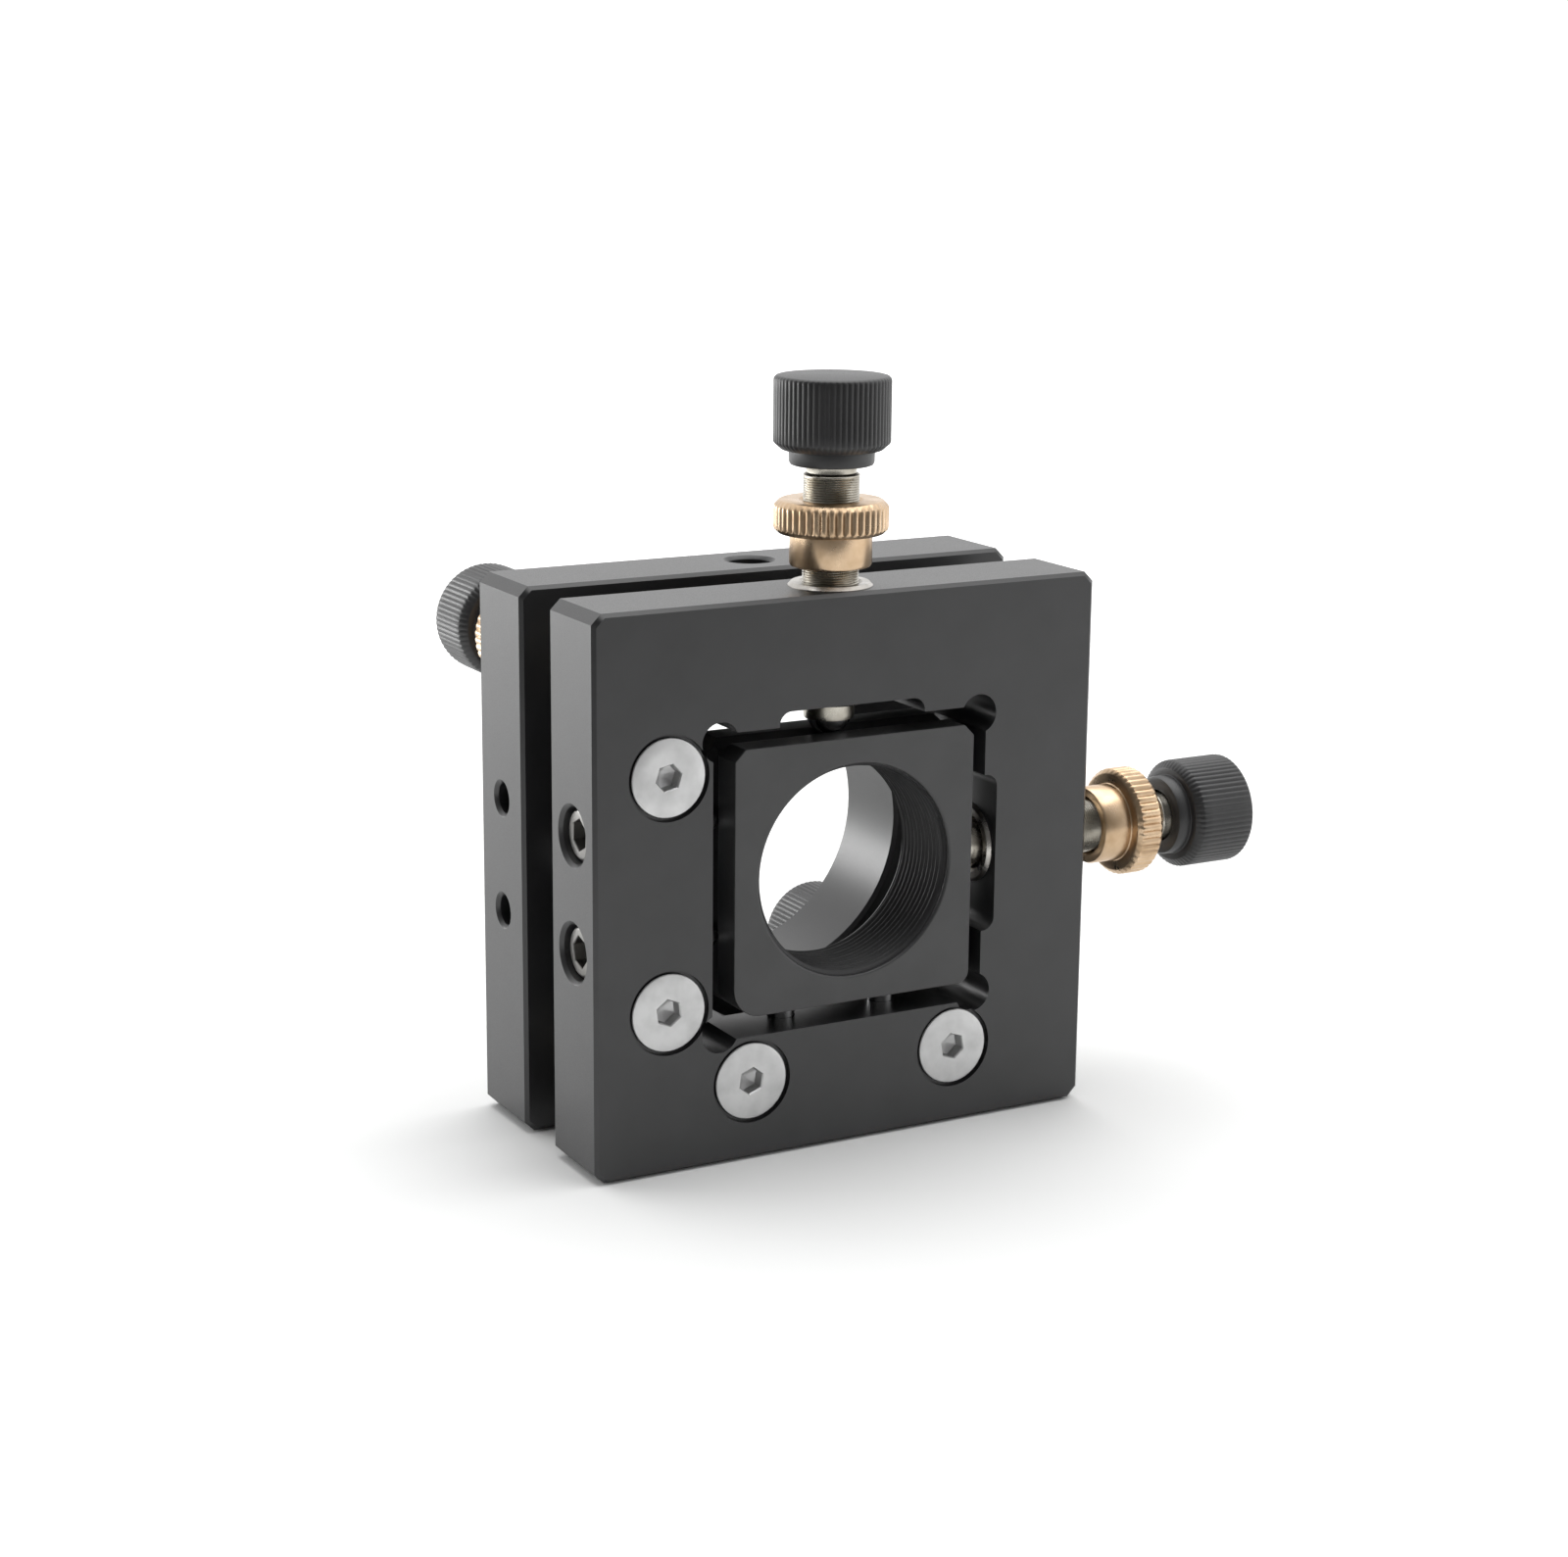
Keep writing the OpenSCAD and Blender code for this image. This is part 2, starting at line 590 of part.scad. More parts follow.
module left_plungers() at_left_plungers()
    plunger(half_plate - half_cell + cell_shift - plunger_reach, left_shoulder);
module bottom_plungers() at_bottom_plungers()
    plunger(half_plate - half_cell - plunger_reach, bottom_shoulder);

// spring between a set screw and a plunger's shoulder
module push_spring(shoulder) color(spring_steel) {
    from = set_screw_sunk + set_screw_len + push_wire_r + rest_gap;
    to = half_plate - half_window - shoulder - shoulder_len - push_wire_r - rest_gap;
    wire(coil(push_spring_r, push_coils, from, to), push_wire_r);
}

module left_push_springs() at_left_plungers() push_spring(left_shoulder);
module bottom_push_springs() at_bottom_plungers() push_spring(bottom_shoulder);

rear_plate();
front_frame();
optic_cell();
x_screw();
z_screw();
pitch_screw();
yaw_screw();
x_knob();
z_knob();
pitch_knob();
yaw_knob();
x_lock_nut();
z_lock_nut();
pitch_lock_nut();
yaw_lock_nut();
x_tip_ball();
z_tip_ball();
pitch_tip_ball();
yaw_tip_ball();
x_bushing();
z_bushing();
pitch_bushing();
yaw_bushing();
pivot_ball();
pivot_post();
cone_seat();
vee_seat();
flat_seat();
left_spring_bar();
bottom_spring_bar();
front_spring_pins();
rear_spring_pins();
left_tilt_spring();
bottom_tilt_spring();
countersunk_screws();
left_set_screws();
bottom_set_screws();
left_plungers();
bottom_plungers();
left_push_springs();
bottom_push_springs();
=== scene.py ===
"""Four-axis kinematic mirror mount: black anodised plates, a threaded optic cell,
knurled knobs, brass lock nuts and fine steel screws, on a pale floor."""

import math

import bmesh
import bpy
from mathutils import Matrix, Vector


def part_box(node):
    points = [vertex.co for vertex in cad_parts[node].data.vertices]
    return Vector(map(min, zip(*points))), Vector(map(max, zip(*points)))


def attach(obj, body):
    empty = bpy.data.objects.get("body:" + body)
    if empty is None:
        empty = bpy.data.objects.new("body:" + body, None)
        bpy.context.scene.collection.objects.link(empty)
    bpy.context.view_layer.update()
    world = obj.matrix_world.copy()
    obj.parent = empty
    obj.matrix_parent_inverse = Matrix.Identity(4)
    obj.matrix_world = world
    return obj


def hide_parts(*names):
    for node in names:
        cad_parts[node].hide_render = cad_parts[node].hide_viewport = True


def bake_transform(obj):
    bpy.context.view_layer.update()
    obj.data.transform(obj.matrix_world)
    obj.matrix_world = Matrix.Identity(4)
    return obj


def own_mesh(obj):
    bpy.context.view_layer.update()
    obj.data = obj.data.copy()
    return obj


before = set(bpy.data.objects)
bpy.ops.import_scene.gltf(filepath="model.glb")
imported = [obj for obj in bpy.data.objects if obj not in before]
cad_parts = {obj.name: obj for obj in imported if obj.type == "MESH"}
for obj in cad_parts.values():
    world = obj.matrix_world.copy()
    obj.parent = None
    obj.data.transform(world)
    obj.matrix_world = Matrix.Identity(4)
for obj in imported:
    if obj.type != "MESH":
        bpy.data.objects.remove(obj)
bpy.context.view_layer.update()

MM = 0.001

# the countersunk heads and the fine thread, in mm, and the grooves round each grip
HEAD_RADIUS = 4.2
HEAD_SPACING = 25
SCREW_PITCH = 0.25
KNOB_GROOVES = 62
NUT_GROOVES = 44
COLUMNS_PER_GROOVE = 6


# ---------------------------------------------------------------- finishes


class Finish:
    """A Principled material whose pattern sits on Object coordinates."""

    def __init__(self, name, colour, roughness, metallic=0.0, ior=1.5):
        self.material = bpy.data.materials.new(name)
        self.material.use_nodes = True
        self.nodes = self.material.node_tree.nodes
        self.links = self.material.node_tree.links
        self.shader = self.nodes["Principled BSDF"]
        self.place = self.nodes.new("ShaderNodeTexCoord").outputs["Object"]
        self.colour, self.roughness = colour, roughness
        self.shader.inputs["Base Color"].default_value = (*colour, 1)
        self.shader.inputs["Roughness"].default_value = roughness
        self.shader.inputs["Metallic"].default_value = metallic
        self.shader.inputs["IOR"].default_value = ior
        self.bump = None

    def noise(self, size_mm, stretch=(1, 1, 1), detail=3.0, turn=(0, 0, 0)):
        """Grain of about this size; stretch makes it longer along an axis."""
        mapping = self.nodes.new("ShaderNodeMapping")
        mapping.inputs["Rotation"].default_value = turn
        mapping.inputs["Scale"].default_value = [1 / (size_mm * MM * s) for s in stretch]
        self.links.new(self.place, mapping.inputs["Vector"])
        grain = self.nodes.new("ShaderNodeTexNoise")
        grain.inputs["Scale"].default_value = 1.0
        grain.inputs["Detail"].default_value = detail
        self.links.new(mapping.outputs["Vector"], grain.inputs["Vector"])
        return grain.outputs["Fac"]

    def between(self, value, low, high, start=0.3, end=0.7):
        """The grain's value spread between two numbers."""
        spread = self.nodes.new("ShaderNodeMapRange")
        for key, number in (("From Min", start), ("From Max", end), ("To Min", low), ("To Max", high)):
            spread.inputs[key].default_value = number
        self.links.new(value, spread.inputs["Value"])
        return spread.outputs["Result"]

    def tint(self, value, dark, light):
        """The grain's value as a mix of two colours."""
        mix = self.nodes.new("ShaderNodeMix")
        mix.data_type = "RGBA"
        self.links.new(value, mix.inputs["Factor"])
        mix.inputs[6].default_value = (*dark, 1)
        mix.inputs[7].default_value = (*light, 1)
        self.links.new(mix.outputs[2], self.shader.inputs["Base Color"])
        return mix

    def gloss(self, value, low, high):
        self.links.new(self.between(value, low, high), self.shader.inputs["Roughness"])

    def raise_grain(self, value, height_mm, strength=1.0):
        bump = self.nodes.new("ShaderNodeBump")
        bump.inputs["Strength"].default_value = strength
        bump.inputs["Distance"].default_value = height_mm * MM
        self.links.new(value, bump.inputs["Height"])
        if self.bump:
            self.links.new(self.bump, bump.inputs["Normal"])
        self.bump = bump.outputs["Normal"]
        self.links.new(self.bump, self.shader.inputs["Normal"])


def anodised(name, colour, roughness, ior, tool_marks=0.0012, marks=(1, 1, 30)):
    """Satin black anodising: a fine blasted grain, faint tool marks and slight unevenness."""
    f = Finish(name, colour, roughness, 0.0, ior)
    uneven = f.noise(6.0, detail=4.0)
    grain = f.noise(0.09, detail=2.0)
    streak = f.noise(0.25, stretch=marks, detail=2.0)
    dark = [c * 0.82 for c in colour]
    light = [c * 1.2 + 0.001 for c in colour]
    f.tint(f.between(uneven, 0.0, 1.0), dark, light)
    f.gloss(grain, roughness - 0.05, roughness + 0.07)
    f.raise_grain(grain, 0.0025)
    f.raise_grain(streak, tool_marks)
    return f.material


def turned_metal(name, colour, dark, roughness, grain_mm=0.12, height=0.002, around=(1, 1, 1)):
    """Machined metal: a soft tarnish, fine turning marks and uneven gloss."""
    f = Finish(name, colour, roughness, 1.0)
    tarnish = f.noise(2.2, detail=5.0)
    marks = f.noise(grain_mm, stretch=around, detail=2.0)
    f.tint(f.between(tarnish, 0.0, 1.0, 0.32, 0.62), dark, colour)
    f.gloss(tarnish, roughness + 0.06, roughness - 0.05)
    f.raise_grain(marks, height)
    return f.material


BLACK_PLATE = anodised("black_plate", (0.0135, 0.0135, 0.0145), 0.36, 1.62)
BLACK_CELL = anodised("black_cell", (0.026, 0.026, 0.027), 0.40, 1.62)
BLACK_THREAD = anodised("black_thread", (0.016, 0.016, 0.017), 0.5, 1.5, 0.0)
BLACK_KNOB = anodised("black_knob", (0.014, 0.014, 0.015), 0.44, 1.58, 0.0)
BRASS = turned_metal("brass_nut", (0.63, 0.465, 0.31), (0.50, 0.35, 0.215), 0.30)
BUSHING_STEEL = turned_metal("bushing_steel", (0.55, 0.53, 0.50), (0.36, 0.34, 0.31), 0.28)
SET_STEEL = turned_metal("set_screw_steel", (0.27, 0.265, 0.255), (0.18, 0.175, 0.165), 0.36)
SCREW_STEEL = turned_metal("screw_steel", (0.50, 0.475, 0.42), (0.34, 0.315, 0.265), 0.28)
FASTENER_STEEL = turned_metal("fastener_steel", (0.60, 0.60, 0.60), (0.52, 0.52, 0.52), 0.42, 0.08, 0.004)
POLISHED_STEEL = turned_metal("polished_steel", (0.78, 0.78, 0.79), (0.62, 0.62, 0.63), 0.12, 0.3, 0.0004)
SPRING_STEEL = turned_metal("spring_steel", (0.58, 0.58, 0.59), (0.38, 0.38, 0.39), 0.28, 0.1, 0.001)


# ---------------------------------------------------------------- geometry node trees


class Tree:
    """A geometry node tree with named inputs."""

    def __init__(self, name):
        self.group = bpy.data.node_groups.new(name, "GeometryNodeTree")
        side = self.group.interface
        side.new_socket("Geometry", in_out="INPUT", socket_type="NodeSocketGeometry")
        side.new_socket("Geometry", in_out="OUTPUT", socket_type="NodeSocketGeometry")
        self.start = self.group.nodes.new("NodeGroupInput")
        self.end = self.group.nodes.new("NodeGroupOutput")
        self.geometry = self.start.outputs["Geometry"]

    def ask(self, name, kind="Float", default=None):
        socket = self.group.interface.new_socket(name, in_out="INPUT", socket_type="NodeSocket" + kind)
        if default is not None:
            socket.default_value = default
        return self.start.outputs[name]

    def put(self, kind, settings=None, **inputs):
        node = self.group.nodes.new(kind)
        for key, value in (settings or {}).items():
            setattr(node, key, value)
        for key, value in inputs.items():
            self.join(value, node.inputs[key.replace("_", " ")])
        return node

    def join(self, value, socket):
        if isinstance(value, bpy.types.NodeSocket):
            self.group.links.new(value, socket)
        else:
            socket.default_value = value

    def math(self, operation, a, b=0.0, c=0.0, clamp=False):
        node = self.group.nodes.new("ShaderNodeMath")
        node.operation, node.use_clamp = operation, clamp
        for socket, value in zip(node.inputs, (a, b, c)):
            self.join(value, socket)
        return node.outputs[0]

    def pass_on(self, node, out="Geometry", into="Geometry"):
        self.group.links.new(self.geometry, node.inputs[into])
        self.geometry = node.outputs[out]

    def finish(self, material):
        self.pass_on(self.put("GeometryNodeRealizeInstances"))
        self.pass_on(self.put("GeometryNodeSetMaterial", Material=material))
        self.group.links.new(self.geometry, self.end.inputs["Geometry"])
        return self.group


def move_radially(tree, cut):
    """Moves each point towards the Z axis by the cut, in metres."""
    place = tree.put("GeometryNodeInputPosition").outputs[0]
    parts = tree.put("ShaderNodeSeparateXYZ", Vector=place)
    x, y, z = parts.outputs
    radius = tree.math("SQRT", tree.math("ADD", tree.math("MULTIPLY", x, x), tree.math("MULTIPLY", y, y)))
    left = tree.math("SUBTRACT", radius, cut(x, y, z, radius))
    share = tree.math("DIVIDE", left, tree.math("MAXIMUM", radius, 1e-7))
    moved_x, moved_y = tree.math("MULTIPLY", x, share), tree.math("MULTIPLY", y, share)
    moved = tree.put("ShaderNodeCombineXYZ", X=moved_x, Y=moved_y, Z=z)
    tree.pass_on(tree.put("GeometryNodeSetPosition", Position=moved.outputs[0]))


def within(tree, z, low, high, fade):
    """1 between the two heights, falling to 0 over the fade."""
    rise = tree.math("DIVIDE", tree.math("SUBTRACT", z, low), fade, clamp=True)
    fall = tree.math("DIVIDE", tree.math("SUBTRACT", high, z), fade, clamp=True)
    return tree.math("MULTIPLY", rise, fall)


def knurl_tree():
    """Straight grooves round the rim of a turned piece."""
    tree = Tree("straight_knurl")
    grooves = tree.ask("Grooves", "Int", 44)
    depth = tree.ask("Groove depth")
    share = tree.ask("Groove share", default=0.5)
    rim = tree.ask("Rim radius")
    low, high, fade = tree.ask("From"), tree.ask("To"), tree.ask("Fade")
    material = tree.ask("Finish", "Material")

    def groove(x, y, z, radius):
        turn = tree.math("DIVIDE", tree.math("ARCTAN2", y, x), math.tau)
        phase = tree.math("FRACT", tree.math("ADD", tree.math("MULTIPLY", turn, grooves), 64.5))
        off = tree.math("ABSOLUTE", tree.math("SUBTRACT", phase, 0.5))
        half_groove = tree.math("MULTIPLY", share, 0.5)
        shape = tree.math("SUBTRACT", 1.0, tree.math("DIVIDE", off, half_groove), clamp=True)
        on_rim = tree.math("GREATER_THAN", radius, rim)
        mask = tree.math("MULTIPLY", within(tree, z, low, high, fade), on_rim)
        return tree.math("MULTIPLY", tree.math("MULTIPLY", depth, shape), mask)

    move_radially(tree, groove)
    return tree.finish(material)


def thread_tree():
    """A right-hand screw thread cut into a turned piece; a negative depth cuts outwards."""
    tree = Tree("screw_thread")
    pitch, depth = tree.ask("Pitch"), tree.ask("Thread depth")
    low, high, fade = tree.ask("From"), tree.ask("To"), tree.ask("Fade")
    material = tree.ask("Finish", "Material")

    def flank(x, y, z, radius):
        turn = tree.math("DIVIDE", tree.math("ARCTAN2", y, x), math.tau)
        rise = tree.math("SUBTRACT", tree.math("DIVIDE", z, pitch), turn)
        phase = tree.math("FRACT", tree.math("ADD", rise, 512.0))
        off = tree.math("ABSOLUTE", tree.math("MULTIPLY", tree.math("SUBTRACT", phase, 0.5), 2.0))
        shape = tree.math("MULTIPLY_ADD", tree.math("SUBTRACT", 1.0, off), 1.3, -0.15, clamp=True)
        return tree.math("MULTIPLY", tree.math("MULTIPLY", depth, shape), within(tree, z, low, high, fade))

    move_radially(tree, flank)
    return tree.finish(material)


def wire_tree():
    """Round wire along a path."""
    tree = Tree("spring_wire")
    radius = tree.ask("Wire radius")
    sides = tree.ask("Sides", "Int", 12)
    material = tree.ask("Finish", "Material")
    tree.pass_on(tree.put("GeometryNodeMeshToCurve"), "Curve", "Mesh")
    section = tree.put("GeometryNodeCurvePrimitiveCircle", Resolution=sides, Radius=radius)
    sweep = tree.put("GeometryNodeCurveToMesh", Profile_Curve=section.outputs["Curve"])
    sweep.inputs["Fill Caps"].default_value = True
    tree.pass_on(sweep, "Mesh", "Curve")
    return tree.finish(material)


def fastener_tree():
    """One fastener set at every point, each turned by its own angle."""
    tree = Tree("set_fasteners")
    fastener = tree.ask("Fastener", "Object")
    facing = tree.ask("Facing", "Vector")
    seed = tree.ask("Seed", "Int", 3)
    material = tree.ask("Finish", "Material")
    shape = tree.put("GeometryNodeObjectInfo", Object=fastener)
    spin = tree.put("FunctionNodeRandomValue", {"data_type": "FLOAT"}, Seed=seed)
    one_flat = math.pi / 3
    spin.inputs[2].default_value, spin.inputs[3].default_value = 0.0, one_flat
    own = tree.put("ShaderNodeCombineXYZ", Z=spin.outputs[1])
    points = tree.put("GeometryNodeMeshToPoints")
    tree.pass_on(points, "Points", "Mesh")
    place = tree.put("GeometryNodeInstanceOnPoints", Instance=shape.outputs["Geometry"], Rotation=facing)
    tree.pass_on(place, "Instances", "Points")
    turn = tree.put("GeometryNodeRotateInstances", Rotation=own.outputs[0])
    turn.inputs["Local Space"].default_value = True
    tree.pass_on(turn, "Instances", "Instances")
    return tree.finish(material)


KNURL, THREAD, WIRE, FASTENERS = knurl_tree(), thread_tree(), wire_tree(), fastener_tree()


def run_tree(piece, group, **values):
    """Runs a tree on a piece and keeps the result as its plain mesh."""
    modifier = piece.modifiers.new(group.name, "NODES")
    modifier.node_group = group
    for item in group.interface.items_tree:
        key = item.name.replace(" ", "_")
        if item.item_type == "SOCKET" and item.in_out == "INPUT" and key in values:
            modifier[item.identifier] = values[key]
    keep_evaluated(piece)
    return piece


def keep_evaluated(piece):
    """The piece's modifiers become its own plain mesh."""
    piece.update_tag()
    bpy.context.view_layer.update()
    graph = bpy.context.evaluated_depsgraph_get()
    mesh = bpy.data.meshes.new_from_object(piece.evaluated_get(graph), depsgraph=graph)
    piece.modifiers.clear()
    piece.data = mesh


# ---------------------------------------------------------------- making shapes


def add_piece(name, mesh, material=None):
    piece = bpy.data.objects.new(name, mesh)
    bpy.context.scene.collection.objects.link(piece)
    if material:
        mesh.materials.clear()
        mesh.materials.append(material)
    return piece


def smooth(piece, angle=32):
    piece.data.shade_smooth()
    piece.data.set_sharp_from_angle(angle=math.radians(angle))
    return piece


def hex_radius(half_across, angle):
    return half_across / math.cos((angle + math.pi / 6) % (math.pi / 3) - math.pi / 6)


def turned(name, outline, around, material):
    """A turned piece from its outline of (radius, height) in mm, with rows between two heights
    where a third number asks for them. A radius of ("hex", half across flats) is a hexagon."""
    rows = []
    for step in outline:
        r, z, count = (*step, 1)[:3]
        if rows and count > 1:
            r0, z0 = rows[-1]
            rows += [(r0 + (r - r0) * k / count, z0 + (z - z0) * k / count) for k in range(1, count)]
        rows.append((r, z))
    bm = bmesh.new()
    rings = []
    for r, z in rows:
        if r == 0:
            rings.append([bm.verts.new((0, 0, z * MM))])
            continue
        ring = []
        for k in range(around):
            a = math.tau * k / around
            rr = hex_radius(r[1], a) if isinstance(r, tuple) else r
            ring.append(bm.verts.new((rr * MM * math.cos(a), rr * MM * math.sin(a), z * MM)))
        rings.append(ring)
    for low, high in zip(rings, rings[1:]):
        for k in range(around):
            n = (k + 1) % around
            if len(low) == 1 == len(high):
                continue
            if len(low) == 1:
                bm.faces.new((low[0], high[n], high[k]))
            elif len(high) == 1:
                bm.faces.new((low[k], low[n], high[0]))
            else:
                bm.faces.new((low[k], low[n], high[n], high[k]))
    if len(rings[0]) > 1 and len(rings[-1]) > 1:
        for k in range(around):
            n = (k + 1) % around
            bm.faces.new((rings[-1][k], rings[-1][n], rings[0][n], rings[0][k]))
    bmesh.ops.recalc_face_normals(bm, faces=bm.faces)
    mesh = bpy.data.meshes.new(name)
    bm.to_mesh(mesh)
    bm.free()
    return add_piece(name, mesh, material)


FACING = {
    "up": Matrix.Identity(4),
    "right": Matrix.Rotation(math.pi / 2, 4, "Y"),
    "rear": Matrix.Rotation(-math.pi / 2, 4, "X"),
}


def set_in_place(piece, facing, point):
    """Turns the piece's own +Z to the facing direction and puts its zero at the point."""
    piece.data.transform(Matrix.Translation(point) @ FACING[facing])
    piece.data.update()
    return piece


def belongs(piece, body, slot, *nodes):
    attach(piece, body)
    if nodes:
        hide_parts(*nodes)
    return piece


def countersunk_centres():
    """Where the four countersunk screws sit: the middle of each head's face."""
    low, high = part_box("countersunk_screws")
    head, apart = HEAD_RADIUS * MM, HEAD_SPACING * MM
    left, right, top, bottom = low.x + head, high.x - head, high.z - head, low.z + head
    row = [(left, top), (left, top - apart), (right - apart, bottom), (right, bottom)]
    return [(x, low.y, z) for x, z in row]


def screw_mouths():
    """Cutter for each countersink's short straight mouth, which leaves a dark ring round the head."""
    radius, length, inwards = 4.58 * MM, 0.9 * MM, 0.02 * MM
    lying = Matrix.Rotation(math.pi / 2, 4, "X")
    bm = bmesh.new()
    for centre in countersunk_centres():
        place = Matrix.Translation(Vector(centre) + Vector((0, inwards, 0))) @ lying
        bmesh.ops.create_cone(
            bm, cap_ends=True, segments=96, radius1=radius, radius2=radius, depth=length, matrix=place
        )
    mesh = bpy.data.meshes.new("screw_mouths")
    bm.to_mesh(mesh)
    bm.free()
    return add_piece("screw_mouths", mesh, BLACK_PLATE)


def machined(name, node, body, slot, material, edge_mm, cutter=None):
    """The node's own shape, less the cutter's, with every sharp edge broken by a small round."""
    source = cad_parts[node].data
    bm = bmesh.new()
    bm.from_mesh(source)
    bmesh.ops.remove_doubles(bm, verts=bm.verts, dist=1e-6)
    bmesh.ops.dissolve_limit(bm, angle_limit=math.radians(0.5), verts=bm.verts, edges=bm.edges)
    mesh = bpy.data.meshes.new(name)
    bm.to_mesh(mesh)
    bm.free()
    piece = add_piece(name, mesh, material)
    for face in mesh.polygons:
        face.material_index = 0
    mesh.shade_smooth()
    if cutter:
        cut = piece.modifiers.new("cut", "BOOLEAN")
        cut.operation, cut.solver, cut.object = "DIFFERENCE", "EXACT", cutter
    bevel = piece.modifiers.new("edge", "BEVEL")
    bevel.width, bevel.segments, bevel.limit_method = edge_mm * MM, 2, "ANGLE"
    bevel.angle_limit, bevel.use_clamp_overlap = math.radians(33), True
    bevel.miter_outer = "MITER_ARC"
    weighted = piece.modifiers.new("flat", "WEIGHTED_NORMAL")
    weighted.weight, weighted.keep_sharp = 100, True
    keep_evaluated(piece)
    if cutter:
        bpy.data.objects.remove(cutter)
    return belongs(piece, body, slot, node)


# ---------------------------------------------------------------- plates and cell

machined("front_frame_body", "front_frame", "front", "plate_black", BLACK_PLATE, 0.13, screw_mouths())
machined("rear_plate_body", "rear_plate", "base", "plate_black", BLACK_PLATE, 0.13)
machined("optic_cell_body", "optic_cell", "cell", "cell_black", BLACK_CELL, 0.12)
machined("left_spring_bar_body", "left_spring_bar", "front", "plate_black", BLACK_PLATE, 0.1)
machined("bottom_spring_bar_body", "bottom_spring_bar", "front", "plate_black", BLACK_PLATE, 0.1)


def cell_thread():
    """The crests of the cell's thread, set into its plain bore."""
    low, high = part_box("optic_cell")
    wall, crest, lead = 11.64, 11.2, 0.3
    short = 0.45
    length = (high.y - low.y) / MM - 2 * short
    liner = turned(
        "cell_thread",
        [
            (wall, 0), (wall, length), (crest + lead, length), (crest, length - lead),
            (crest, lead, 108), (crest + lead, 0),
        ],
        192,
        BLACK_THREAD,
    )
    run_tree(
        liner, THREAD, Pitch=0.75 * MM, Thread_depth=-0.34 * MM, From=0.1 * MM, To=(length - 0.1) * MM,
        Fade=0.4 * MM, Finish=BLACK_THREAD,
    )
    for point in liner.data.vertices:
        if math.hypot(point.co.x, point.co.y) > wall * MM:
            s = wall * MM / math.hypot(point.co.x, point.co.y)
            point.co.x, point.co.y = point.co.x * s, point.co.y * s
    middle = (low + high) / 2
    set_in_place(smooth(liner, 60), "rear", Vector((middle.x, low.y + short * MM, middle.z)))
    return belongs(liner, "cell", "cell_black")


cell_thread()


# ---------------------------------------------------------------- adjusters


def adjuster_parts(axis, facing):
    """One adjuster's ball centre, its parts' spans along its axis in mm from there, and the radii
    of its knob and its nut."""
    ball_low, ball_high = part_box(axis + "_tip_ball")
    centre = (ball_low + ball_high) / 2
    along = {"up": 2, "right": 0, "rear": 1}[facing]
    spans = {}
    for part in ("screw", "knob", "lock_nut"):
        low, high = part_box(axis + "_" + part)
        spans[part] = ((low[along] - centre[along]) / MM, (high[along] - centre[along]) / MM)
    across = (along + 1) % 3
    low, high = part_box(axis + "_knob")
    knob_radius = (high[across] - low[across]) / MM / 2
    low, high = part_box(axis + "_lock_nut")
    nut_radius = (high[across] - low[across]) / MM / 2
    return centre, spans, knob_radius, nut_radius


def knob(axis, facing, body):
    """A straight-knurled knob on a short neck."""
    centre, spans, rim, _ = adjuster_parts(axis, facing)
    start, end = spans["knob"]
    neck = 1.6
    grip = start + neck
    piece = turned(
        axis + "_knurled_knob",
        [
            (2.98, start + 0.05), (4.05, start), (4.34, start + 0.1), (4.48, start + 0.36), (4.5, grip - 0.1),
            (4.6, grip), (rim - 0.95, grip + 0.02), (rim - 0.8, grip + 0.08), (rim - 0.08, grip + 0.72),
            (rim, grip + 0.92), (rim, end - 0.5, 6), (rim - 0.07, end - 0.27), (rim - 0.27, end - 0.07),
            (rim - 0.5, end), (0, end),
        ],
        KNOB_GROOVES * COLUMNS_PER_GROOVE,
        BLACK_KNOB,
    )
    run_tree(
        piece, KNURL, Grooves=KNOB_GROOVES, Groove_depth=0.11 * MM, Groove_share=0.7, Rim_radius=5.6 * MM,
        From=(grip + 0.3) * MM, To=(end - 0.1) * MM, Fade=0.4 * MM, Finish=BLACK_KNOB,
    )
    set_in_place(smooth(piece, 38), facing, centre)
    return belongs(piece, body, "knob_black", axis + "_knob")


def lock_nut(axis, facing, body):
    """A brass nut: a plain hub and a knurled ring, which is the end nearer the knob."""
    centre, spans, _, rim = adjuster_parts(axis, facing)
    start, end = spans["lock_nut"]
    ring_length = 3.5
    ring = end - ring_length
    piece = turned(
        axis + "_brass_nut",
        [
            (3.06, start + 0.35), (3.42, start), (3.98, start), (4.22, start + 0.08), (4.35, start + 0.32),
            (4.35, ring - 0.12), (4.45, ring), (rim - 0.62, ring), (rim - 0.5, ring + 0.05),
            (rim - 0.06, ring + 0.46), (rim, ring + 0.62), (rim, end - 0.75, 5), (rim - 0.05, end - 0.58),
            (rim - 0.52, end - 0.08), (rim - 0.68, end), (3.42, end), (3.06, end - 0.35),
        ],
        NUT_GROOVES * COLUMNS_PER_GROOVE,
        BRASS,
    )
    run_tree(
        piece, KNURL, Grooves=NUT_GROOVES, Groove_depth=0.24 * MM, Groove_share=0.7, Rim_radius=5.5 * MM,
        From=(ring + 0.4) * MM, To=(end - 0.5) * MM, Fade=0.18 * MM, Finish=BRASS,
    )
    set_in_place(smooth(piece, 36), facing, centre)
    return belongs(piece, body, "nut_brass", axis + "_lock_nut")


